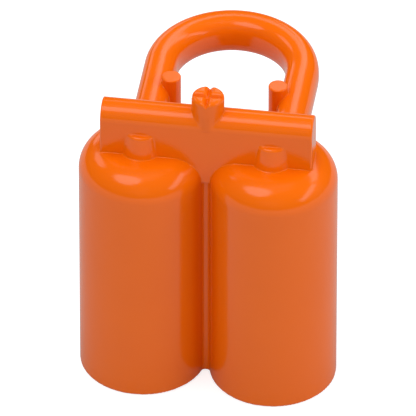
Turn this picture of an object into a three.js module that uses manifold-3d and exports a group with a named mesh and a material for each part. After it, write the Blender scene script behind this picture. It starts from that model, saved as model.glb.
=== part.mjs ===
// Twin air tanks with a neck loop: a backpack accessory for a toy figure.
// Millimetres, +Z up. The tanks stand on z = 0, side by side along X.
// Their fronts face -Y, and the loop reaches back along +Y.
// The real piece is one moulding, drawn here as its separate features.

import * as THREE from 'three';
import { mergeVertices } from 'three/addons/utils/BufferGeometryUtils.js';
import Module from 'manifold-3d';

// Driving dimensions
const OVERALL_WIDTH = 12.8;
const TANK_DIAMETER = 6.31;
const TANK_HEIGHT = 13.3;
const SHOULDER_RADIUS = 1.4;
const FOOT_RADIUS = 0.1;

const PLATE_WIDTH = 10.48;
const PLATE_THICKNESS = 1.6;
const PLATE_FRONT_Y = -0.86;
const BAR_TOP_Z = 15.91;
const WEB_FRONT_Y = -0.7;

const HANDWHEEL_DIAMETER = 1.61;
const HANDWHEEL_TOP_Z = 16.8;
const HANDWHEEL_ROUND = 0.2;
const GROOVE_WIDTH = 0.34;
const GROOVE_DEPTH = 0.24;

const STUB_FOOT_RADIUS = 1.03;
const STUB_TOP_RADIUS = 0.86;
const STUB_PROUD = 0.45;
const STUB_TOP_Z = 14.53;
const STUB_ROUND = 0.12;

const LOOP_INNER_RADIUS = 2.68;
const LOOP_CENTRE_Y = 7.92;
const LOOP_STRETCH = 1.03;
const LOOP_MID_Z = 11.93;
const LOOP_WIDTH = 1.68;
const LOOP_HEIGHT = 1.99;
const LOOP_SQUARENESS = 2.47;
const LOOP_FLAT_DEPTH = 0.06;

const RIB_RADIUS = 0.475;
const RIB_X = 2.66;
const RIB_Y = 5.66;
const RIB_TOP_Z = 13.27;

// Clearance that keeps neighbouring features apart
const GAP = 0.03;

// Worked out from the driving dimensions
const TANK_RADIUS = TANK_DIAMETER / 2;
const TANK_X = OVERALL_WIDTH / 2 - TANK_RADIUS;
const SHOULDER_Z = TANK_HEIGHT - SHOULDER_RADIUS;
const BAR_RADIUS = PLATE_THICKNESS / 2;
const BAR_Z = BAR_TOP_Z - BAR_RADIUS;
const PLATE_MID_Y = PLATE_FRONT_Y + BAR_RADIUS;
const STUB_Y = PLATE_FRONT_Y - STUB_PROUD + STUB_FOOT_RADIUS;
const LOOP_MID_RADIUS = LOOP_INNER_RADIUS + LOOP_WIDTH / 2;
const LOOP_BOTTOM_Z = LOOP_MID_Z - LOOP_HEIGHT / 2 + LOOP_FLAT_DEPTH;

const TANK_SIDES = 56;
const SMALL_SIDES = 28;
const SECTION_SIDES = 24;
const ARC_STEPS = 36;

const wasm = await Module();
wasm.setup();

// Closed three.js geometry to a manifold solid
function toSolid(geometry) {
  const bare = geometry.index ? geometry.toNonIndexed() : geometry.clone();
  bare.deleteAttribute('normal');
  bare.deleteAttribute('uv');
  const merged = mergeVertices(bare, 1e-5);
  return new wasm.Manifold(new wasm.Mesh({
    numProp: 3,
    vertProperties: new Float32Array(merged.attributes.position.array),
    triVerts: new Uint32Array(merged.index.array),
  }));
}

// Manifold solid back to a three.js geometry
function toGeometry(solid) {
  const mesh = solid.getMesh();
  const geometry = new THREE.BufferGeometry();
  geometry.setAttribute('position', new THREE.BufferAttribute(mesh.vertProperties, 3));
  geometry.setIndex(new THREE.BufferAttribute(mesh.triVerts, 1));
  geometry.computeVertexNormals();
  return geometry;
}

// Box between two corners
function boxBetween(low, high) {
  const size = high.map((value, axis) => value - low[axis]);
  const middle = high.map((value, axis) => (value + low[axis]) / 2);
  return new THREE.BoxGeometry(...size).translate(...middle);
}

// Points of a quarter round in a lathe profile, from one angle to another
function quarterRound(centreR, centreZ, radius, fromAngle, toAngle, steps) {
  return Array.from({ length: steps + 1 }, (_, i) => {
    const angle = fromAngle + ((toAngle - fromAngle) * i) / steps;
    return new THREE.Vector2(centreR + radius * Math.cos(angle), centreZ + radius * Math.sin(angle));
  });
}

// Upright turned solid from a profile of (radius, height) points that starts and ends on its axis
function turned(profile, sides) {
  return new THREE.LatheGeometry(profile, sides).rotateX(Math.PI / 2);
}

// Cylinder on end with rounded top and bottom edges, grown outwards by an allowance
function roundedPost(radius, bottomZ, topZ, footRound, topRound, sides, grow = 0) {
  const foot = quarterRound(radius - footRound, bottomZ + footRound, footRound + grow, -Math.PI / 2, 0, 3);
  const top = quarterRound(radius - topRound, topZ - topRound, topRound + grow, 0, Math.PI / 2, 8);
  const start = new THREE.Vector2(0, bottomZ - grow);
  const end = new THREE.Vector2(0, topZ + grow);
  return turned([start, ...foot, ...top, end], sides);
}

function tankShape(grow = 0) {
  return roundedPost(TANK_RADIUS, 0, TANK_HEIGHT, FOOT_RADIUS, SHOULDER_RADIUS, TANK_SIDES, grow);
}

// Both tanks as cutters, grown by the clearance
function tankClearance() {
  const left = toSolid(tankShape(GAP).translate(-TANK_X, 0, 0));
  const right = toSolid(tankShape(GAP).translate(TANK_X, 0, 0));
  return left.add(right);
}

// Web that joins the two tanks down the groove between them
function centreWeb() {
  const low = [-TANK_X / 4, WEB_FRONT_Y, 0];
  const high = [TANK_X / 4, PLATE_FRONT_Y + PLATE_THICKNESS, SHOULDER_Z - GAP];
  return toGeometry(toSolid(boxBetween(low, high)).subtract(tankClearance()));
}

// Upright plate that stands on the shoulders of both tanks
function manifoldPlate() {
  const low = [-PLATE_WIDTH / 2, PLATE_FRONT_Y, SHOULDER_Z];
  const high = [PLATE_WIDTH / 2, PLATE_FRONT_Y + PLATE_THICKNESS, BAR_Z - GAP];
  return toGeometry(toSolid(boxBetween(low, high)).subtract(tankClearance()));
}

// Half-round bar along the plate's top edge, on one side of the handwheel
function manifoldBar(side) {
  const outline = new THREE.Shape();
  outline.moveTo(BAR_RADIUS, 0);
  outline.absarc(0, 0, BAR_RADIUS, 0, Math.PI, false);
  outline.closePath();
  const rod = new THREE.ExtrudeGeometry(outline, {
    depth: PLATE_WIDTH / 2, bevelEnabled: false, curveSegments: SMALL_SIDES / 2,
  });
  rod.rotateX(Math.PI / 2).rotateZ(Math.PI / 2).translate(0, PLATE_MID_Y, BAR_Z);
  if (side < 0) rod.translate(-PLATE_WIDTH / 2, 0, 0);
  const wheelRoom = handwheelBlank(GAP);
  return toGeometry(toSolid(rod).subtract(toSolid(wheelRoom)));
}

function handwheelBlank(grow = 0) {
  const radius = HANDWHEEL_DIAMETER / 2;
  return roundedPost(radius, BAR_Z, HANDWHEEL_TOP_Z, 0.02, HANDWHEEL_ROUND, SMALL_SIDES, grow)
    .translate(0, PLATE_MID_Y, 0);
}

// V-shaped groove across the handwheel's top, along Y
function handwheelGroove() {
  const half = GROOVE_WIDTH / 2;
  const outline = new THREE.Shape([
    new THREE.Vector2(0, -GROOVE_DEPTH),
    new THREE.Vector2(2 * half, GROOVE_DEPTH),
    new THREE.Vector2(-2 * half, GROOVE_DEPTH),
  ]);
  const length = 2 * HANDWHEEL_DIAMETER;
  return new THREE.ExtrudeGeometry(outline, { depth: length, bevelEnabled: false })
    .translate(0, 0, -length / 2)
    .rotateX(Math.PI / 2);
}

// Centre knob with a cross of grooves
function valveHandwheel() {
  const along = toSolid(handwheelGroove().translate(0, PLATE_MID_Y, HANDWHEEL_TOP_Z));
  const across = toSolid(handwheelGroove().rotateZ(Math.PI / 2).translate(0, PLATE_MID_Y, HANDWHEEL_TOP_Z));
  return toGeometry(toSolid(handwheelBlank()).subtract(along).subtract(across));
}

// Tapered valve stub on one tank's dome, the part of it in front of the plate
function valveStub(side) {
  const foot = TANK_HEIGHT + GAP;
  const edgeRadius = STUB_TOP_RADIUS - STUB_ROUND;
  const edgeZ = STUB_TOP_Z - STUB_ROUND;
  const top = quarterRound(edgeRadius, edgeZ, STUB_ROUND, 0, Math.PI / 2, 6);
  const profile = [
    new THREE.Vector2(0, foot),
    new THREE.Vector2(STUB_FOOT_RADIUS, foot),
    ...top,
    new THREE.Vector2(0, STUB_TOP_Z),
  ];
  const post = turned(profile, SMALL_SIDES).translate(side * TANK_X, STUB_Y, 0);
  const reach = TANK_DIAMETER;
  const behind = boxBetween(
    [side * TANK_X - reach, PLATE_FRONT_Y - GAP, 0],
    [side * TANK_X + reach, reach, 2 * TANK_HEIGHT],
  );
  return toGeometry(toSolid(post).subtract(toSolid(behind)));
}

// Section of the loop: a squarish oval, flat underneath. Its x runs down and its y runs across the path.
function loopSection(grow = 0) {
  const power = 2 / LOOP_SQUARENESS;
  const halfHeight = LOOP_HEIGHT / 2 + grow;
  const halfWidth = LOOP_WIDTH / 2 + grow;
  const points = Array.from({ length: SECTION_SIDES }, (_, i) => {
    const angle = (2 * Math.PI * (i + 0.5)) / SECTION_SIDES;
    const down = halfHeight * Math.sign(Math.cos(angle)) * Math.abs(Math.cos(angle)) ** power;
    const across = halfWidth * Math.sign(Math.sin(angle)) * Math.abs(Math.sin(angle)) ** power;
    return new THREE.Vector2(Math.min(down, halfHeight - LOOP_FLAT_DEPTH), across);
  });
  return new THREE.Shape(points);
}

// Half turn of the loop behind the figure's neck
class LoopArc extends THREE.Curve {
  getPoint(t, target = new THREE.Vector3()) {
    const angle = Math.PI * t;
    const x = LOOP_MID_RADIUS * Math.cos(angle);
    const y = LOOP_CENTRE_Y + LOOP_MID_RADIUS * LOOP_STRETCH * Math.sin(angle);
    return target.set(x, y, LOOP_MID_Z);
  }
}

function neckLoop() {
  return new THREE.ExtrudeGeometry(loopSection(), {
    steps: ARC_STEPS, bevelEnabled: false, extrudePath: new LoopArc(),
  });
}

// Straight leg of the loop on one side, between the tank and the half turn
function legBlank(side, grow = 0) {
  const path = new THREE.LineCurve3(
    new THREE.Vector3(side * LOOP_MID_RADIUS, 0, LOOP_MID_Z),
    new THREE.Vector3(side * LOOP_MID_RADIUS, LOOP_CENTRE_Y - GAP, LOOP_MID_Z),
  );
  return toSolid(new THREE.ExtrudeGeometry(loopSection(grow), {
    steps: 1, bevelEnabled: false, extrudePath: path,
  }));
}

function loopLeg(side) {
  return toGeometry(legBlank(side).subtract(tankClearance()));
}

// Upright rib on the inner wall of one leg, which grips the figure's neck
function gripRib(side) {
  const post = roundedPost(RIB_RADIUS, LOOP_BOTTOM_Z, RIB_TOP_Z, 0.02, 0.06, SMALL_SIDES)
    .translate(side * RIB_X, RIB_Y, 0);
  const cut = toSolid(post).subtract(legBlank(side, GAP));
  return toGeometry(cut);
}

const orangePlastic = new THREE.MeshStandardMaterial({ color: 0xf26a0a, roughness: 0.22, metalness: 0 });

function named(name, geometry) {
  const mesh = new THREE.Mesh(geometry, orangePlastic.clone());
  mesh.name = name;
  return mesh;
}

const airTanks = new THREE.Group();
const sides = [['left', -1], ['right', 1]];
for (const [word, side] of sides) {
  const tank = named(`${word}_tank`, tankShape());
  tank.position.x = side * TANK_X;
  airTanks.add(tank);
  airTanks.add(named(`${word}_manifold_bar`, manifoldBar(side)));
  airTanks.add(named(`${word}_valve_stub`, valveStub(side)));
  airTanks.add(named(`${word}_loop_leg`, loopLeg(side)));
  airTanks.add(named(`${word}_grip_rib`, gripRib(side)));
}
airTanks.add(named('centre_web', centreWeb()));
airTanks.add(named('manifold_plate', manifoldPlate()));
airTanks.add(named('valve_handwheel', valveHandwheel()));
airTanks.add(named('neck_loop', neckLoop()));

export default airTanks;
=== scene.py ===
"""A toy figure's twin air tanks, moulded in one piece of glossy orange ABS, in a plain studio.

The moulding is described by distance fields, one for each feature, joined with the small
fillets that a steel mould leaves. Every feature is then meshed as a closed piece of its own,
and its surface runs on under its neighbours, so that no seam shows where two of them meet.
Field sizes are in millimetres, and finished meshes are in metres, in the CAD frame.
"""

import logging
import math
from abc import ABC, abstractmethod
from dataclasses import dataclass
from enum import Enum
from typing import Callable

import bpy
import numpy as np
from mathutils import Matrix, Vector


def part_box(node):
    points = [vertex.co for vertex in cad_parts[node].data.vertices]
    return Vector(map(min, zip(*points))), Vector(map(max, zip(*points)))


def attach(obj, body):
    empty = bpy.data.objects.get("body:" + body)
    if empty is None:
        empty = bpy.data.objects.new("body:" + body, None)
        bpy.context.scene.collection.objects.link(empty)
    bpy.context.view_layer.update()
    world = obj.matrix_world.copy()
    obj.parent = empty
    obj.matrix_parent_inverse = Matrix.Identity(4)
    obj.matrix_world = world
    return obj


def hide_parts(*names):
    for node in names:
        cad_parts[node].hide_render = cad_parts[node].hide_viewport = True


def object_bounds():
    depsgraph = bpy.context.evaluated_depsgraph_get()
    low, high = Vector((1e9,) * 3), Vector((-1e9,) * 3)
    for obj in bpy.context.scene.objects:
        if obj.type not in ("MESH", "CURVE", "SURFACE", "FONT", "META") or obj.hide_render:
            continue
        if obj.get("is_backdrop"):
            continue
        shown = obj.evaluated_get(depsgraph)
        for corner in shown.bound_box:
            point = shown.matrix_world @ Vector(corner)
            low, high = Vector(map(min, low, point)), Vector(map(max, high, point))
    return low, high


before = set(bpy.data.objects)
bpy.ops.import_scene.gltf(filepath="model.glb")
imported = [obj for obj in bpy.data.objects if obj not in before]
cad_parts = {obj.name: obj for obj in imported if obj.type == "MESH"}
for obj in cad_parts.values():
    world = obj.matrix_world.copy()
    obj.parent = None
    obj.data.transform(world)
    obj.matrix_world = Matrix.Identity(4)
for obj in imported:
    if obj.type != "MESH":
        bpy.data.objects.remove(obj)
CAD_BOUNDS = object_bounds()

log = logging.getLogger("air_tanks")
Points = np.ndarray
Distances = np.ndarray
Field = Callable[[Points], Distances]

MM = 0.001
BODY = "root"
FAR_AWAY = 1e3
TINY = 1e-9


class Side(Enum):
    """Which half of the moulding a paired feature belongs to."""

    LEFT = -1
    RIGHT = 1

    @property
    def word(self) -> str:
        """The side as it stands in node names."""
        return self.name.lower()


def node_box(node: str) -> tuple[np.ndarray, np.ndarray]:
    """Reads a CAD node's box from the frame.

    Args:
        node: The node's name.

    Returns:
        Its lowest and highest corners, in millimetres.
    """
    low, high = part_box(node)
    return np.array(low) / MM, np.array(high) / MM


# Ways of joining distance fields


def fillet_union(first: Distances, second: Distances, radius: float) -> Distances:
    """Joins two fields with a round fillet where they meet.

    Args:
        first: Distances to one solid.
        second: Distances to the other.
        radius: The fillet's radius.

    Returns:
        Distances to the joined solid.
    """
    near_first = np.maximum(radius - first, 0)
    near_second = np.maximum(radius - second, 0)
    return np.maximum(np.minimum(first, second), radius) - np.hypot(near_first, near_second)


def round_intersection(first: Distances, second: Distances, radius: float) -> Distances:
    """Keeps what two fields share and rounds the edge where they cross.

    Args:
        first: Distances to one solid.
        second: Distances to the other.
        radius: The edge's radius.

    Returns:
        Distances to the shared solid.
    """
    return -fillet_union(-first, -second, radius)


def turned_block(radial: Distances, height: Distances, radius: float, top: float,
                 top_round: float, foot_round: float) -> Distances:
    """Distance to an upright turned block that stands on height 0.

    Args:
        radial: Distance of each point from the block's axis.
        height: Height of each point above the block's foot.
        radius: The block's radius.
        top: The block's height.
        top_round: Radius of its upper edge.
        foot_round: Radius of its lower edge.

    Returns:
        Distances to the block.
    """
    edge = np.where(height > top / 2, top_round, foot_round)
    across = radial - radius + edge
    along = np.abs(height - top / 2) - top / 2 + edge
    outside = np.hypot(np.maximum(across, 0), np.maximum(along, 0))
    return np.minimum(np.maximum(across, along), 0) + outside - edge


class Form(ABC):
    """One plain shape that the moulding is joined from."""

    @abstractmethod
    def distance(self, points: Points) -> Distances:
        """Distances from the points to this shape, negative inside it."""


@dataclass
class AirTank(Form):
    """An upright gas bottle with a rounded shoulder and a flat crown."""

    side: Side
    shoulder: float = 1.4
    foot_round: float = 0.07

    def __post_init__(self) -> None:
        """Takes the bottle's place and size from the frame."""
        low, high = node_box(f"{self.side.word}_tank")
        self.axis_x, self.axis_y = (low[:2] + high[:2]) / 2
        self.radius = (high[0] - low[0]) / 2
        self.height = high[2]

    def distance(self, points: Points) -> Distances:
        """Distances to the bottle."""
        radial = np.hypot(points[..., 0] - self.axis_x, points[..., 1] - self.axis_y)
        return turned_block(radial, points[..., 2], self.radius, self.height, self.shoulder, self.foot_round)


@dataclass
class Slab(Form):
    """An upright plate across the bottles, whose top edge may be rounded."""

    low: np.ndarray
    high: np.ndarray
    crown: float = 0.08
    edge: float = 0.08

    def distance(self, points: Points) -> Distances:
        """Distances to the plate, with its crown and its softened edges.

        Args:
            points: Points in millimetres.

        Returns:
            Distances in millimetres, negative inside.
        """
        middle = (self.low + self.high) / 2
        half = (self.high - self.low) / 2
        across = np.abs(points[..., 1] - middle[1])
        section = turned_block(across, points[..., 2] - self.low[2], half[1],
                               self.high[2] - self.low[2], self.crown, self.edge)
        along = np.abs(points[..., 0] - middle[0]) - half[0]
        return round_intersection(section, along, self.edge)


@dataclass
class Block(Form):
    """A plain box, which marks the stretch of the moulding that belongs to one node."""

    low: np.ndarray
    high: np.ndarray

    def distance(self, points: Points) -> Distances:
        """Distances to the box.

        Args:
            points: Points in millimetres.

        Returns:
            Distances in millimetres, negative inside.
        """
        beyond = np.maximum(self.low - points, points - self.high)
        outside = np.linalg.norm(np.maximum(beyond, 0), axis=-1)
        return outside + np.minimum(beyond.max(axis=-1), 0)


@dataclass
class Post(Form):
    """A short round post on end, such as a valve stub or a grip rib."""

    axis_x: float
    axis_y: float
    radius: float
    foot_z: float
    top_z: float
    top_round: float
    foot_round: float = 0.02

    def distance(self, points: Points) -> Distances:
        """Distances to the post.

        Args:
            points: Points in millimetres.

        Returns:
            Distances in millimetres, negative inside.
        """
        radial = np.hypot(points[..., 0] - self.axis_x, points[..., 1] - self.axis_y)
        return turned_block(radial, points[..., 2] - self.foot_z, self.radius,
                            self.top_z - self.foot_z, self.top_round, self.foot_round)


@dataclass
class Stub(Post):
    """A tapered valve stub, half sunk in the plate, which keeps clear of the plate's back."""

    back_y: float = 0.0
    taper_z: float = 0.0
    taper_deg: float = 8.0

    def distance(self, points: Points) -> Distances:
        """Distances to the front part of the stub.

        Args:
            points: Points in millimetres.

        Returns:
            Distances in millimetres, negative inside.
        """
        taper = math.radians(self.taper_deg)
        drawn_in = np.maximum(points[..., 2] - self.taper_z, 0) * math.tan(taper)
        radial = np.hypot(points[..., 0] - self.axis_x, points[..., 1] - self.axis_y) + drawn_in
        post = turned_block(radial, points[..., 2] - self.foot_z, self.radius,
                            self.top_z - self.foot_z, self.top_round, self.foot_round)
        return np.maximum(post * math.cos(taper), points[..., 1] - self.back_y)


@dataclass
class Handwheel(Post):
    """The valve's knob, with a cross of V grooves in its top."""

    groove_width: float = 0.34
    groove_depth: float = 0.24
    groove_edge: float = 0.09

    def distance(self, points: Points) -> Distances:
        """Distances to the knob, less its two grooves.

        Args:
            points: Points in millimetres.

        Returns:
            Distances in millimetres, negative inside.
        """
        knob = super().distance(points)
        slope = math.atan2(self.groove_width / 2, self.groove_depth)
        above = points[..., 2] - (self.top_z - self.groove_depth)
        for offset in (points[..., 0] - self.axis_x, points[..., 1] - self.axis_y):
            groove = np.abs(offset) * math.cos(slope) - above * math.sin(slope)
            knob = round_intersection(knob, -groove, self.groove_edge)
        return knob


@dataclass
class LoopBar(Form):
    """The bar of the neck loop: two straight legs and a half turn of squarish oval section."""

    half_width: float
    half_height: float
    mid_radius: float
    mid_z: float
    centre_y: float
    stretch: float
    underside_z: float
    squareness: float = 2.47
    flat_edge: float = 0.05

    @classmethod
    def from_frame(cls, flat_depth: float = 0.06) -> "LoopBar":
        """Works the loop out from the CAD's half turn and one leg.

        Args:
            flat_depth: How much of the oval the flat underside takes off.

        Returns:
            The loop's path and section.
        """
        turn_low, turn_high = node_box("neck_loop")
        leg_low, leg_high = node_box("right_loop_leg")
        half_width = (leg_high[0] - leg_low[0]) / 2
        half_height = (turn_high[2] - turn_low[2] + flat_depth) / 2
        mid_radius = (leg_low[0] + leg_high[0]) / 2
        centre_y = turn_low[1]
        stretch = (turn_high[1] - half_width - centre_y) / mid_radius
        return cls(half_width, half_height, mid_radius, turn_high[2] - half_height, centre_y, stretch,
                   turn_low[2])

    def distance(self, points: Points) -> Distances:
        """Distances to the whole loop, cut off square inside the bottles.

        Args:
            points: Points in millimetres.

        Returns:
            Distances in millimetres, negative inside.
        """
        along = np.maximum(points[..., 1] - self.centre_y, 0) / self.stretch
        across = (np.hypot(points[..., 0], along) - self.mid_radius) / self.half_width
        rise = (points[..., 2] - self.mid_z) / self.half_height
        n = self.squareness
        size = (np.abs(across) ** n + np.abs(rise) ** n + TINY) ** (1 / n)
        slope_across = (np.abs(across) / size) ** (n - 1) / self.half_width
        slope_rise = (np.abs(rise) / size) ** (n - 1) / self.half_height
        oval = (size - 1) / np.hypot(slope_across, slope_rise)
        flattened = round_intersection(oval, self.underside_z - points[..., 2], self.flat_edge)
        return np.maximum(flattened, -points[..., 1])


# Meshing


@dataclass
class SkinMesher:
    """Turns distance fields into closed quad meshes on one shared lattice."""

    settle_steps: int = 4
    probe: float = 1e-3
    least_slope: float = 0.05

    def lattice(self, low: np.ndarray, high: np.ndarray, pitch: float) -> tuple[np.ndarray, ...]:
        """Lattice coordinates that cover a box.

        Args:
            low: The box's lowest corner.
            high: Its highest corner.
            pitch: The lattice's spacing.

        Returns:
            One array of coordinates for each axis.
        """
        first = np.floor(low / pitch).astype(int) - 2
        last = np.ceil(high / pitch).astype(int) + 3
        return tuple(np.arange(a, b) * pitch for a, b in zip(first, last))

    def sample(self, field: Field, axes: tuple[np.ndarray, ...]) -> Distances:
        """Evaluates a field over a lattice, slice by slice.

        Args:
            field: The distance field.
            axes: The lattice's coordinates.

        Returns:
            The field's values as a block of floats.
        """
        values = np.empty([len(a) for a in axes])
        grid_y, grid_z = np.meshgrid(axes[1], axes[2], indexing="ij")
        for i, x in enumerate(axes[0]):
            values[i] = field(np.stack([np.full_like(grid_y, x), grid_y, grid_z], axis=-1))
        return values

    def gradient(self, field: Field, points: Points) -> Points:
        """Slope of a field at some points.

        Args:
            field: The distance field.
            points: Where to measure it.

        Returns:
            One gradient vector for each point.
        """
        steps = np.eye(3) * self.probe
        slopes = [field(points + step) - field(points - step) for step in steps]
        return np.stack(slopes, axis=-1) / (2 * self.probe)

    def settle(self, field: Field, points: Points) -> Points:
        """Moves points along the slope until they lie on the surface.

        Args:
            field: The distance field.
            points: Points near the surface.

        Returns:
            Points on the surface.
        """
        for _ in range(self.settle_steps):
            slope = self.gradient(field, points)
            steep = np.maximum((slope * slope).sum(axis=-1, keepdims=True), self.least_slope)
            points = points - field(points)[..., None] * slope / steep
        return points

    def net(self, field: Field, low: np.ndarray, high: np.ndarray, pitch: float) -> tuple[Points, np.ndarray]:
        """Stretches a net of quads over a field's surface.

        Args:
            field: The distance field, negative inside.
            low: Lowest corner of the box that holds the surface.
            high: Its highest corner.
            pitch: Size of a quad.

        Returns:
            The net's points and its quads, which face outwards.
        """
        axes = self.lattice(low, high, pitch)
        values = self.sample(field, axes)
        inside = values < 0
        cells = tuple(n - 1 for n in values.shape)
        total = np.zeros(cells + (3,))
        count = np.zeros(cells)
        for axis in range(3):
            self.add_crossings(values, inside, axis, total, count)
        busy = count > 0
        number = np.full(cells, -1)
        number[busy] = np.arange(busy.sum())
        offset = total[busy] / count[busy][:, None]
        start = np.stack([axes[k][index] for k, index in enumerate(np.nonzero(busy))], axis=-1)
        points = self.settle(field, start + offset * pitch)
        quads = np.concatenate([self.quads_along(inside, number, axis) for axis in range(3)])
        return points, quads

    @staticmethod
    def add_crossings(values: Distances, inside: np.ndarray, axis: int,
                      total: np.ndarray, count: np.ndarray) -> None:
        """Adds where lattice edges along one axis cross the surface to the cells around them.

        Args:
            values: The field over the lattice.
            inside: Which lattice points are inside.
            axis: The edges' axis.
            total: Sum of crossing points in each cell, in cell units, changed in place.
            count: Number of crossings in each cell, changed in place.
        """
        here = np.moveaxis(values, axis, 0)
        flag = np.moveaxis(inside, axis, 0)
        crossed = flag[1:] != flag[:-1]
        rise = here[:-1] - here[1:]
        share = np.where(crossed, here[:-1] / np.where(rise == 0, 1, rise), 0)
        sums = np.moveaxis(total, axis, 0)
        counts = np.moveaxis(count, axis, 0)
        others = [k for k in range(3) if k != axis]
        for first in (0, 1):
            for second in (0, 1):
                cut = crossed[:, first:crossed.shape[1] - 1 + first, second:crossed.shape[2] - 1 + second]
                part = share[:, first:share.shape[1] - 1 + first, second:share.shape[2] - 1 + second]
                counts += cut
                sums[..., axis] += part
                sums[..., others[0]] += cut * first
                sums[..., others[1]] += cut * second

    @staticmethod
    def quads_along(inside: np.ndarray, number: np.ndarray, axis: int) -> np.ndarray:
        """Quads round the lattice edges along one axis.

        Args:
            inside: Which lattice points are inside.
            number: Point number of each cell.
            axis: The edges' axis.

        Returns:
            Quads of point numbers, wound to face outwards.
        """
        order = [axis, (axis + 1) % 3, (axis + 2) % 3]
        flag = inside.transpose(order)
        cell = number.transpose(order)
        core = flag[:, 1:-1, 1:-1]
        crossed = core[1:] != core[:-1]
        a = cell[:, :-1, :-1][crossed]
        b = cell[:, 1:, :-1][crossed]
        c = cell[:, 1:, 1:][crossed]
        d = cell[:, :-1, 1:][crossed]
        leaving = core[:-1][crossed][:, None]
        return np.where(leaving, np.stack([a, b, c, d], axis=-1), np.stack([d, c, b, a], axis=-1))


def mesh_object(name: str, points: Points, faces: list, normals: Points) -> bpy.types.Object:
    """Makes a smooth Blender object from a net.

    Args:
        name: The object's name.
        points: Its points, in millimetres.
        faces: Its faces.
        normals: The surface's own normals at the points.

    Returns:
        The object, with its place in its mesh.
    """
    mesh = bpy.data.meshes.new(name)
    mesh.from_pydata((points * MM).tolist(), [], faces)
    mesh.validate()
    mesh.shade_smooth()
    mesh.normals_split_custom_set_from_vertices(normals.tolist())
    piece = bpy.data.objects.new(name, mesh)
    bpy.context.scene.collection.objects.link(piece)
    return piece


# Stretches of the moulding, one for each CAD node


@dataclass
class Stretch:
    """The part of the moulding that stands for one CAD node."""

    node: str
    territory: Field
    pitch: float
    overlap: float = 0.45

    def net(self, skin: Field, mesher: SkinMesher) -> tuple[Points, list]:
        """Nets this stretch of the moulding.

        Args:
            skin: The stretch's own field.
            mesher: What turns fields into nets.

        Returns:
            The net's points and its faces.
        """
        low, high = node_box(self.node)
        points, quads = mesher.net(skin, low - 2 * self.overlap, high + 2 * self.overlap, self.pitch)
        return points, quads.tolist()


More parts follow.
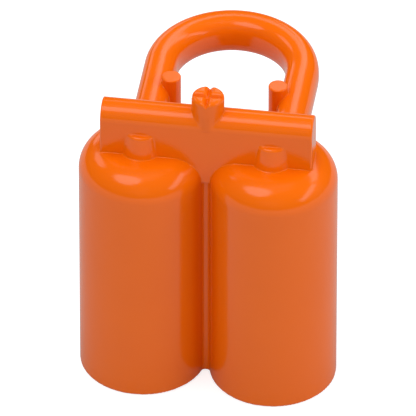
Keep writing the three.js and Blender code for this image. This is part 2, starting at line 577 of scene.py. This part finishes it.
@dataclass
class HalfTurn(Stretch):
    """The loop's half turn, swept along its path by Geometry Nodes and laid on the moulding's skin."""

    bar: LoopBar | None = None
    path_points: int = 181
    section_points: int = 96

    def net(self, skin: Field, mesher: SkinMesher) -> tuple[Points, list]:
        """Sweeps the half turn.

        Args:
            skin: The stretch's own field.
            mesher: What settles the points on the skin.

        Returns:
            The sweep's points and its faces.
        """
        mesh = self.swept_mesh()
        points = np.array([vertex.co for vertex in mesh.vertices]) / MM
        faces = [list(polygon.vertices) for polygon in mesh.polygons]
        bpy.data.meshes.remove(mesh)
        return mesher.settle(skin, points), faces

    def swept_mesh(self) -> bpy.types.Mesh:
        """Evaluates the sweep and keeps its mesh, in metres.

        Returns:
            The mesh, free of its modifier.
        """
        tree = self.sweep_tree()
        carrier = bpy.data.objects.new("half_turn_carrier", bpy.data.meshes.new("half_turn_carrier"))
        bpy.context.scene.collection.objects.link(carrier)
        modifier = carrier.modifiers.new("half_turn", "NODES")
        modifier.node_group = tree
        bar = self.bar
        sizes = {"Mid Radius": bar.mid_radius, "Centre Y": bar.centre_y, "Mid Z": bar.mid_z,
                 "Half Width": bar.half_width, "Half Height": bar.half_height, "Run On": self.overlap}
        values = {name: size * MM for name, size in sizes.items()}
        values["Stretch"] = bar.stretch
        values["Squareness"] = bar.squareness
        for item in tree.interface.items_tree:
            if item.in_out == "INPUT":
                modifier[item.identifier] = values[item.name]
        evaluated = carrier.evaluated_get(bpy.context.evaluated_depsgraph_get())
        mesh = bpy.data.meshes.new_from_object(evaluated)
        carrier.modifiers.clear()
        bpy.data.objects.remove(carrier)
        return mesh

    def sweep_tree(self) -> bpy.types.NodeTree:
        """Builds the tree that sweeps a squarish oval along a half turn with short straight ends.

        Returns:
            The tree, with a named input for each size.
        """
        tree = bpy.data.node_groups.new("half_turn_sweep", "GeometryNodeTree")
        tree.interface.new_socket("Geometry", in_out="OUTPUT", socket_type="NodeSocketGeometry")
        for name in ("Mid Radius", "Stretch", "Centre Y", "Mid Z", "Half Width", "Half Height",
                     "Squareness", "Run On"):
            tree.interface.new_socket(name, in_out="INPUT", socket_type="NodeSocketFloat")
        size = add_node(tree, "NodeGroupInput").outputs

        def maths(operation: str, *terms: object) -> bpy.types.NodeSocket:
            """Adds one step of arithmetic to the tree.

            Args:
                operation: Which step, by its name in the Math node.
                *terms: Numbers and sockets, in the order of the node's inputs.

            Returns:
                The socket that holds the result.
            """
            links = {i: term for i, term in enumerate(terms) if isinstance(term, bpy.types.NodeSocket)}
            numbers = {i: term for i, term in enumerate(terms) if i not in links}
            return add_node(tree, "ShaderNodeMath", {"operation": operation, **numbers}, links).outputs[0]

        run_angle = maths("DIVIDE", size["Run On"], size["Mid Radius"])
        whole_angle = maths("MULTIPLY_ADD", run_angle, 2.0, math.pi)
        line = add_node(tree, "GeometryNodeCurvePrimitiveLine", {"End": (1, 0, 0)})
        steps = add_node(tree, "GeometryNodeResampleCurve", {"Count": self.path_points},
                         {"Curve": line.outputs[0]})
        factor = add_node(tree, "GeometryNodeSplineParameter").outputs["Factor"]
        reach = maths("SUBTRACT", maths("MULTIPLY", factor, whole_angle), run_angle)
        angle = maths("MINIMUM", maths("MAXIMUM", reach, 0.0), math.pi)
        beyond = maths("MULTIPLY", maths("ABSOLUTE", maths("SUBTRACT", reach, angle)), size["Mid Radius"])
        path_x = maths("MULTIPLY", size["Mid Radius"], maths("COSINE", angle))
        half_depth = maths("MULTIPLY", size["Mid Radius"], size["Stretch"])
        depth = maths("MULTIPLY", half_depth, maths("SINE", angle))
        path_y = maths("SUBTRACT", maths("ADD", size["Centre Y"], depth), beyond)
        place = add_node(tree, "ShaderNodeCombineXYZ", {}, {"X": path_x, "Y": path_y, "Z": size["Mid Z"]})
        path = add_node(tree, "GeometryNodeSetPosition", {},
                        {"Geometry": steps.outputs[0], "Position": place.outputs[0]})
        upright = add_node(tree, "GeometryNodeSetCurveNormal", {"mode": "Z_UP"}, {"Curve": path.outputs[0]})

        circle = add_node(tree, "GeometryNodeCurvePrimitiveCircle",
                          {"Resolution": self.section_points, "Radius": 1.0})
        round_place = add_node(tree, "ShaderNodeSeparateXYZ", {},
                               {0: add_node(tree, "GeometryNodeInputPosition").outputs[0]}).outputs
        power = maths("DIVIDE", 2.0, size["Squareness"])

        def squared(value: bpy.types.NodeSocket, half: bpy.types.NodeSocket) -> bpy.types.NodeSocket:
            """Pushes one coordinate of the circle out towards the corners of a square.

            Args:
                value: The coordinate on a circle of radius 1.
                half: Half of the section's size along that coordinate.

            Returns:
                The coordinate on the squarish oval.
            """
            pushed = maths("POWER", maths("ABSOLUTE", value), power)
            return maths("MULTIPLY", maths("MULTIPLY", maths("SIGN", value), pushed), half)

        section_place = add_node(tree, "ShaderNodeCombineXYZ", {},
                                 {"X": squared(round_place["X"], size["Half Width"]),
                                  "Y": squared(round_place["Y"], size["Half Height"])})
        section = add_node(tree, "GeometryNodeSetPosition", {},
                           {"Geometry": circle.outputs[0], "Position": section_place.outputs[0]})
        sweep = add_node(tree, "GeometryNodeCurveToMesh", {"Fill Caps": True},
                         {"Curve": upright.outputs[0], "Profile Curve": section.outputs[0]})
        real = add_node(tree, "GeometryNodeRealizeInstances", {}, {0: sweep.outputs[0]})
        dressed = add_node(tree, "GeometryNodeSetMaterial", {}, {"Geometry": real.outputs[0]})
        dressed.inputs["Material"].default_value = bpy.data.materials[MouldedAbs.name]
        add_node(tree, "NodeGroupOutput", {}, {0: dressed.outputs[0]})
        return tree


class SubAssembly(ABC):
    """A group of features that adds itself to the moulding."""

    @abstractmethod
    def join(self, body: Distances, points: Points) -> Distances:
        """Joins these features to what is there already, with their fillets."""

    @abstractmethod
    def stretches(self) -> list[Stretch]:
        """The stretches of the moulding that stand for this sub-assembly's nodes."""


@dataclass
class Bottles(SubAssembly):
    """The two gas bottles, which stand a hair's breadth apart."""

    pitch: float = 0.08

    def __post_init__(self) -> None:
        """Sets the forms out from the frame."""
        self.tanks = [AirTank(side) for side in Side]

    def join(self, body: Distances, points: Points) -> Distances:
        """Adds both bottles."""
        return np.minimum(body, np.minimum(*[tank.distance(points) for tank in self.tanks]))

    def stretches(self) -> list[Stretch]:
        """The two bottles."""
        return [Stretch(f"{tank.side.word}_tank", tank.distance, self.pitch) for tank in self.tanks]


@dataclass
class Manifold(SubAssembly):
    """The web between the bottles and the plate above it, with its bar, its handwheel and its stubs."""

    plate_fillet: float = 0.02
    web_fillet: float = 0.12
    knob_fillet: float = 0.04
    stub_fillet: float = 0.05
    knob_round: float = 0.2
    stub_round: float = 0.13
    sunk: float = 0.5
    crown_flat: float = 0.01
    web_run_on_share: float = 0.125
    web_pitch: float = 0.05
    plate_pitch: float = 0.055
    post_pitch: float = 0.04

    def __post_init__(self) -> None:
        """Sets the forms out from the frame."""
        plate_low, plate_high = node_box("manifold_plate")
        bar_low, bar_high = node_box("left_manifold_bar")
        knob_low, knob_high = node_box("valve_handwheel")
        top = plate_high.copy()
        top[2] = bar_high[2]
        half = (plate_high[1] - plate_low[1]) / 2
        self.bar_z = bar_low[2]
        self.plate = Slab(plate_low, top, crown=half - self.crown_flat)
        self.plate_home = Block(plate_low, plate_high)
        web_low, web_high = node_box("centre_web")
        self.web_home = Block(web_low, web_high)
        into_tank = np.array([node_box("right_tank")[1][0] * self.web_run_on_share, 0, 0])
        lift = np.array([0, 0, self.sunk])
        self.web = Slab(web_low - into_tank, web_high + into_tank + lift)
        middle_y = (plate_low[1] + plate_high[1]) / 2
        self.knob = Handwheel(0.0, middle_y, (knob_high[0] - knob_low[0]) / 2, self.bar_z,
                              knob_high[2], self.knob_round)
        self.stubs = [self.stub(side, middle_y) for side in Side]

    def stub(self, side: Side, back_y: float) -> Stub:
        """Works one stub out from the crescent of it that shows in front of the plate.

        Args:
            side: Which stub.
            back_y: Where the stub is cut off inside the plate.

        Returns:
            The whole stub.
        """
        low, high = node_box(f"{side.word}_valve_stub")
        half_chord, depth = (high[0] - low[0]) / 2, high[1] - low[1]
        radius = (half_chord ** 2 + depth ** 2) / (2 * depth)
        return Stub((low[0] + high[0]) / 2, low[1] + radius, radius, low[2] - self.sunk, high[2],
                    self.stub_round, back_y=back_y, taper_z=low[2])

    def join(self, body: Distances, points: Points) -> Distances:
        """Fillets the web to the bottles, the plate to their domes, and then the posts to the plate.

        Args:
            body: Distances to what is joined so far.
            points: Points in millimetres.

        Returns:
            Distances to the moulding with the manifold.
        """
        webbed = np.maximum(fillet_union(body, self.web.distance(points), self.web_fillet), -points[..., 2])
        joined = fillet_union(webbed, self.plate.distance(points), self.plate_fillet)
        joined = fillet_union(joined, self.knob.distance(points), self.knob_fillet)
        for stub in self.stubs:
            joined = fillet_union(joined, stub.distance(points), self.stub_fillet)
        return joined

    def stretches(self) -> list[Stretch]:
        """The web, the plate, both halves of the bar, the handwheel and the stubs.

        Returns:
            One stretch for each of these nodes.
        """
        found = [Stretch("centre_web", self.web_home.distance, self.web_pitch),
                 Stretch("manifold_plate", self.plate_home.distance, self.plate_pitch),
                 Stretch("valve_handwheel", super(Handwheel, self.knob).distance, self.post_pitch)]
        for side, stub in zip(Side, self.stubs):
            low, high = node_box(f"{side.word}_manifold_bar")
            low[0], high[0] = (low[0], 0.0) if side is Side.LEFT else (0.0, high[0])
            bar_home = Block(low, high)
            found.append(Stretch(f"{side.word}_manifold_bar", bar_home.distance, self.plate_pitch))
            found.append(Stretch(f"{side.word}_valve_stub", stub.distance, self.post_pitch))
        return found


@dataclass
class NeckLoop(SubAssembly):
    """The loop that slips over the figure's neck post, with the ribs that grip the post."""

    root_fillet: float = 0.2
    rib_fillet: float = 0.06
    rib_round: float = 0.06
    leg_pitch: float = 0.06
    rib_pitch: float = 0.04

    def __post_init__(self) -> None:
        """Sets the forms out from the frame."""
        self.bar = LoopBar.from_frame()
        self.ribs = [self.rib(side) for side in Side]

    def rib(self, side: Side) -> Post:
        """Works one rib out from the sliver of it that shows on the leg's inner wall.

        Args:
            side: Which rib.

        Returns:
            The whole rib.
        """
        low, high = node_box(f"{side.word}_grip_rib")
        radius = (high[1] - low[1]) / 2
        inner_x = high[0] if side is Side.LEFT else low[0]
        return Post(inner_x + side.value * radius, (low[1] + high[1]) / 2, radius, low[2], high[2],
                    self.rib_round)

    def join(self, body: Distances, points: Points) -> Distances:
        """Fillets the loop's roots to the bottles' backs, and then the ribs to the loop.

        Args:
            body: Distances to what is joined so far.
            points: Points in millimetres.

        Returns:
            Distances to the moulding with the loop.
        """
        joined = fillet_union(body, self.bar.distance(points), self.root_fillet)
        for rib in self.ribs:
            joined = fillet_union(joined, rib.distance(points), self.rib_fillet)
        return joined

    def leg_territory(self, side: Side) -> Field:
        """The field that marks the straight leg on one side.

        Args:
            side: Which leg.

        Returns:
            The field of that leg.
        """
        def territory(points: Points) -> Distances:
            """Distances to the leg.

            Args:
                points: Points in millimetres.

            Returns:
                Distances in millimetres, negative inside.
            """
            wrong_side = -side.value * points[..., 0]
            past_leg = points[..., 1] - self.bar.centre_y
            return np.maximum(self.bar.distance(points), np.maximum(wrong_side, past_leg))
        return territory

    def turn_territory(self, points: Points) -> Distances:
        """Distances to the half turn."""
        return np.maximum(self.bar.distance(points), self.bar.centre_y - points[..., 1])

    def stretches(self) -> list[Stretch]:
        """The legs, the ribs and the half turn.

        Returns:
            One stretch for each of these nodes.
        """
        found: list[Stretch] = []
        for side, rib in zip(Side, self.ribs):
            found.append(Stretch(f"{side.word}_loop_leg", self.leg_territory(side), self.leg_pitch))
            found.append(Stretch(f"{side.word}_grip_rib", rib.distance, self.rib_pitch))
        found.append(HalfTurn("neck_loop", self.turn_territory, self.leg_pitch, bar=self.bar))
        return found


@dataclass
class Moulding:
    """The whole moulding as one field, and the pieces that it is shown as."""

    assemblies: list[SubAssembly]
    mesher: SkinMesher
    sink: float = 1.0

    def whole(self, points: Points) -> Distances:
        """Distances to the whole moulding, fillets included.

        Args:
            points: Points in millimetres.

        Returns:
            Distances in millimetres, negative inside.
        """
        body = np.full(points.shape[:-1], FAR_AWAY)
        for assembly in self.assemblies:
            body = assembly.join(body, points)
        return body

    def skin(self, stretch: Stretch, others: list[Stretch]) -> Field:
        """The field of one stretch, which dips under its neighbours past its own edge.

        Args:
            stretch: The stretch.
            others: Every other stretch of the moulding.

        Returns:
            The stretch's own field.
        """
        def field(points: Points) -> Distances:
            """Distances to the stretch's skin.

            Args:
                points: Points in millimetres.

            Returns:
                Distances in millimetres, negative inside.
            """
            nearest = np.min([other.territory(points) for other in others], axis=0)
            past_edge = np.maximum(stretch.territory(points) - nearest, 0)
            return np.maximum(self.whole(points) + self.sink * past_edge ** 2, past_edge - stretch.overlap)
        return field

    def build(self, plastic: bpy.types.Material) -> None:
        """Meshes, dresses and places every stretch.

        Args:
            plastic: The moulding's material.
        """
        stretches = [stretch for assembly in self.assemblies for stretch in assembly.stretches()]
        for stretch in stretches:
            others = [other for other in stretches if other is not stretch]
            points, faces = stretch.net(self.skin(stretch, others), self.mesher)
            slope = self.mesher.gradient(self.whole, points)
            normals = slope / np.maximum(np.linalg.norm(slope, axis=-1, keepdims=True), TINY)
            piece = mesh_object(f"{stretch.node}_moulded", points, faces, normals)
            piece.data.materials.append(plastic)
            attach(piece, BODY)
            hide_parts(stretch.node)
            log.info("%s: %d points, %d faces", piece.name, len(points), len(faces))


# Materials


def linear_colour(hex_code: str) -> tuple[float, float, float, float]:
    """Turns an sRGB hex colour into linear light.

    Args:
        hex_code: Six hex digits after a #.

    Returns:
        Red, green, blue and full alpha.
    """
    parts = [int(hex_code[i:i + 2], 16) / 255 for i in (1, 3, 5)]
    linear = [c / 12.92 if c <= 0.04045 else ((c + 0.055) / 1.055) ** 2.4 for c in parts]
    return (*linear, 1.0)


def add_node(tree: bpy.types.NodeTree, kind: str, settings: dict | None = None,
             links: dict | None = None) -> bpy.types.Node:
    """Adds a node with its settings and its links.

    Args:
        tree: The tree that the node goes in.
        kind: The node's type.
        settings: Values by name, for a property of the node or else for an input.
        links: Output sockets, by the name or number of the input that each one feeds.

    Returns:
        The node.
    """
    node = tree.nodes.new(kind)
    for name, value in (settings or {}).items():
        if isinstance(name, str) and hasattr(node, name):
            setattr(node, name, value)
        else:
            node.inputs[name].default_value = value
    for name, socket in (links or {}).items():
        tree.links.new(socket, node.inputs[name])
    return node


@dataclass(frozen=True)
class MouldedAbs:
    """Glossy ABS, injection moulded against polished steel.

    It gives the eye a deep even orange with sharp but slightly softened reflections.
    """

    name = "glossy_orange_abs_moulded"
    colour: str = "#F16B03"
    flow_colour: str = "#EC6602"
    roughness: float = 0.15
    roughness_drift: float = 0.03
    ior: float = 1.54
    flow_mm: float = 3.5
    polish_mm: float = 0.9
    ripple_mm: float = 0.4
    ripple_height_mm: float = 0.0006
    grain_mm: float = 0.09
    grain_height_mm: float = 0.0014

    def noise(self, tree: bpy.types.NodeTree, place: bpy.types.NodeSocket, size_mm: float,
              detail: float) -> bpy.types.NodeSocket:
        """Adds a noise whose features have a real size.

        Args:
            tree: The material's tree.
            place: Object coordinates, in metres.
            size_mm: Size of one feature.
            detail: Octaves of finer detail.

        Returns:
            The noise, about 0.5 on average.
        """
        settings = {"Scale": 1 / (size_mm * MM), "Detail": detail}
        return add_node(tree, "ShaderNodeTexNoise", settings, {"Vector": place}).outputs[0]

    def build(self) -> bpy.types.Material:
        """Builds the material.

        Returns:
            The plastic.
        """
        material = bpy.data.materials.new(self.name)
        material.use_nodes = True
        tree = material.node_tree
        tree.nodes.clear()
        place = add_node(tree, "ShaderNodeTexCoord").outputs["Object"]
        # Pigment that flowed into the mould leaves faint, broad clouds of tone
        flow = self.noise(tree, place, self.flow_mm, 2.0)
        tone = add_node(tree, "ShaderNodeMix", {"data_type": "RGBA"}, {0: flow})
        tone.inputs[6].default_value = linear_colour(self.colour)
        tone.inputs[7].default_value = linear_colour(self.flow_colour)
        # Handling dulls the polish in patches
        polish = add_node(tree, "ShaderNodeMapRange",
                          {"To Min": self.roughness - self.roughness_drift,
                           "To Max": self.roughness + self.roughness_drift},
                          {"Value": self.noise(tree, place, self.polish_mm, 3.0)})
        # The steel's own ripple, and over it a grain drawn coarser than the real one so that it shows
        ripple = add_node(tree, "ShaderNodeBump", {"Distance": self.ripple_height_mm * MM},
                          {"Height": self.noise(tree, place, self.ripple_mm, 1.0)})
        grain = add_node(tree, "ShaderNodeBump", {"Distance": self.grain_height_mm * MM},
                         {"Height": self.noise(tree, place, self.grain_mm, 2.0), "Normal": ripple.outputs[0]})
        shader = add_node(tree, "ShaderNodeBsdfPrincipled", {"IOR": self.ior},
                          {"Base Color": tone.outputs[2], "Roughness": polish.outputs[0],
                           "Normal": grain.outputs[0]})
        add_node(tree, "ShaderNodeOutputMaterial", {}, {"Surface": shader.outputs[0]})
        return material


@dataclass(frozen=True)
class PaleFloor:
    """Matt card that looks near white, and that the glossy plastic mirrors as a mid grey.

    It gives the eye a plain ground with only a faint shadow, and keeps the plastic's edges orange.
    """

    name = "matt_white_card"
    colour: str = "#B5B5B5"
    glow: float = 0.72

    def build(self) -> bpy.types.Material:
        """Builds the material.

        Returns:
            The card.
        """
        material = bpy.data.materials.new(self.name)
        material.use_nodes = True
        tree = material.node_tree
        tree.nodes.clear()
        seen = add_node(tree, "ShaderNodeLightPath").outputs["Is Camera Ray"]
        glow = add_node(tree, "ShaderNodeMath", {"operation": "MULTIPLY", 1: self.glow}, {0: seen})
        card = add_node(tree, "ShaderNodeBsdfDiffuse", {"Color": linear_colour(self.colour)})
        lift = add_node(tree, "ShaderNodeEmission", {}, {"Strength": glow.outputs[0]})
        both = add_node(tree, "ShaderNodeAddShader", {}, {0: card.outputs[0], 1: lift.outputs[0]})
        add_node(tree, "ShaderNodeOutputMaterial", {}, {"Surface": both.outputs[0]})
        return material


# Studio


class LightShape(Enum):
    """The outline of a soft light."""

    SQUARE_CORNERED = "RECTANGLE"
    ROUND = "ELLIPSE"


@dataclass(frozen=True)
class SoftLight:
    """A soft light that faces the object.

    Its two ends are directions from the object's middle, and its width is a share of its distance.
    Its radiance is what a perfect mirror would show.
    """

    name: str
    start: tuple[float, float, float]
    end: tuple[float, float, float]
    width: float
    radiance: float
    shape: LightShape = LightShape.SQUARE_CORNERED
    in_reflections: bool = True
    distance_mm: float = 450.0

    def build(self, target: Vector) -> None:
        """Places the light.

        Args:
            target: The object's middle, in metres.
        """
        reach = self.distance_mm * MM
        start, end = Vector(self.start).normalized() * reach, Vector(self.end).normalized() * reach
        middle = (start + end) / 2
        along = (end - start).normalized()
        facing = (middle - along * middle.dot(along)).normalized()
        data = bpy.data.lights.new(self.name, "AREA")
        data.shape = self.shape.value
        data.size = (end - start).length
        data.size_y = self.width * reach
        area = data.size * data.size_y * (math.pi / 4 if self.shape is LightShape.ROUND else 1)
        data.energy = self.radiance * math.pi * area
        lamp = bpy.data.objects.new(self.name, data)
        bpy.context.scene.collection.objects.link(lamp)
        lamp.location = target + middle
        lamp.rotation_mode = "QUATERNION"
        lamp.rotation_quaternion = Matrix((along, facing.cross(along), facing)).transposed().to_quaternion()
        lamp.visible_camera = False
        lamp.visible_glossy = self.in_reflections


@dataclass
class Studio:
    """A pale floor, soft lights and the camera."""

    azimuth_deg: float = 8.31
    elevation_deg: float = 39.12
    distance_mm: float = 595.0
    aim_mm: tuple[float, float, float] = (-0.70, 4.74, 5.90)
    view_width_mm: float = 20.68
    sensor_mm: float = 36.0
    floor_half_mm: float = 400.0
    floor_drop_mm: float = 0.02
    ambient: float = 0.64
    clip_m: tuple[float, float] = (0.01, 10.0)

    def lights(self) -> list[SoftLight]:
        """The round softbox overhead, the strips and cards round the object, and lights that only fill.

        Returns:
            Every light in the studio.
        """
        return [
            SoftLight("overhead_softbox", (-0.75, -0.38, 1), (0.01, -0.38, 1), 0.6, 1.85, LightShape.ROUND),
            SoftLight("right_front_strip", (0.81, -0.52, 0.28), (0.76, 0.2, 0.64), 0.2, 1.6),
            SoftLight("right_back_strip", (0.7, 0.27, 0.66), (-0.12, 0.78, 0.61), 0.18, 1.6),
            SoftLight("left_card", (-0.58, 0.61, 0.54), (-0.68, 0.16, 0.71), 0.3, 1.2, LightShape.ROUND),
            SoftLight("back_left_card", (-0.62, 0.75, 0.25), (-0.22, 0.93, 0.3), 0.3, 1.0, LightShape.ROUND),
            SoftLight("back_strip", (0.03, 0.93, 0.36), (0.08, 0.8, 0.6), 0.14, 1.3),
            SoftLight("overhead_fill", (-0.3, 0, 1), (0.3, 0, 1), 0.6, 2.4, in_reflections=False),
            SoftLight("right_fill", (1, -0.3, 0.3), (1, 0.3, 0.3), 0.6, 1.5, in_reflections=False),
            SoftLight("front_fill", (-0.3, -1, 0.5), (0.3, -1, 0.5), 0.5, 1.15, in_reflections=False),
        ]

    def build(self) -> None:
        """Sets the whole studio up."""
        low, high = CAD_BOUNDS
        for light in self.lights():
            light.build((low + high) / 2)
        self.build_floor()
        self.build_world()
        self.build_camera()

    def build_floor(self) -> None:
        """Lays the floor a hair below the object's feet, so that the two never share a plane."""
        half = self.floor_half_mm * MM
        mesh = bpy.data.meshes.new("studio_floor")
        level = -self.floor_drop_mm * MM
        corners = [(-half, -half, level), (half, -half, level), (half, half, level), (-half, half, level)]
        mesh.from_pydata(corners, [], [(0, 1, 2, 3)])
        floor = bpy.data.objects.new("studio_floor", mesh)
        bpy.context.scene.collection.objects.link(floor)
        floor.data.materials.append(PaleFloor().build())
        floor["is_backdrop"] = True

    def build_world(self) -> None:
        """Fills the shadows evenly, and keeps that fill out of the reflections."""
        world = bpy.data.worlds.new("studio_air")
        world.use_nodes = True
        background = world.node_tree.nodes["Background"]
        background.inputs["Color"].default_value = (1.0, 1.0, 1.0, 1.0)
        background.inputs["Strength"].default_value = self.ambient
        world.cycles_visibility.glossy = False
        bpy.context.scene.world = world

    def build_camera(self) -> None:
        """Places the camera in front and above."""
        azimuth, elevation = math.radians(self.azimuth_deg), math.radians(self.elevation_deg)
        back = Vector((math.sin(azimuth) * math.cos(elevation), -math.cos(azimuth) * math.cos(elevation),
                       math.sin(elevation)))
        data = bpy.data.cameras.new("camera")
        data.sensor_width = self.sensor_mm
        data.lens = self.sensor_mm * self.distance_mm / self.view_width_mm
        data.clip_start, data.clip_end = self.clip_m
        camera = bpy.data.objects.new("camera", data)
        bpy.context.scene.collection.objects.link(camera)
        camera.location = back * self.distance_mm * MM
        camera.rotation_mode = "QUATERNION"
        line_of_sight = Vector(self.aim_mm) * MM - camera.location
        camera.rotation_quaternion = line_of_sight.to_track_quat("-Z", "Y")
        bpy.context.scene.camera = camera


def write_sizes() -> None:
    """Gathers the CAD model's box and the visual model's box, but keeps them nowhere."""
    boxes = {"cad": CAD_BOUNDS, "visual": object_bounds()}
    {name: [list(corner) for corner in box] for name, box in boxes.items()}


def main() -> None:
    """Builds the studio, the plastic and the moulding, in that order."""
    logging.basicConfig(level=logging.INFO, format="%(name)s: %(message)s")
    bpy.context.scene.view_settings.view_transform = "Standard"
    Studio().build()
    plastic = MouldedAbs().build()
    moulding = Moulding([Bottles(), Manifold(), NeckLoop()], SkinMesher())
    moulding.build(plastic)
    write_sizes()


if __name__ == "__main__":
    main()
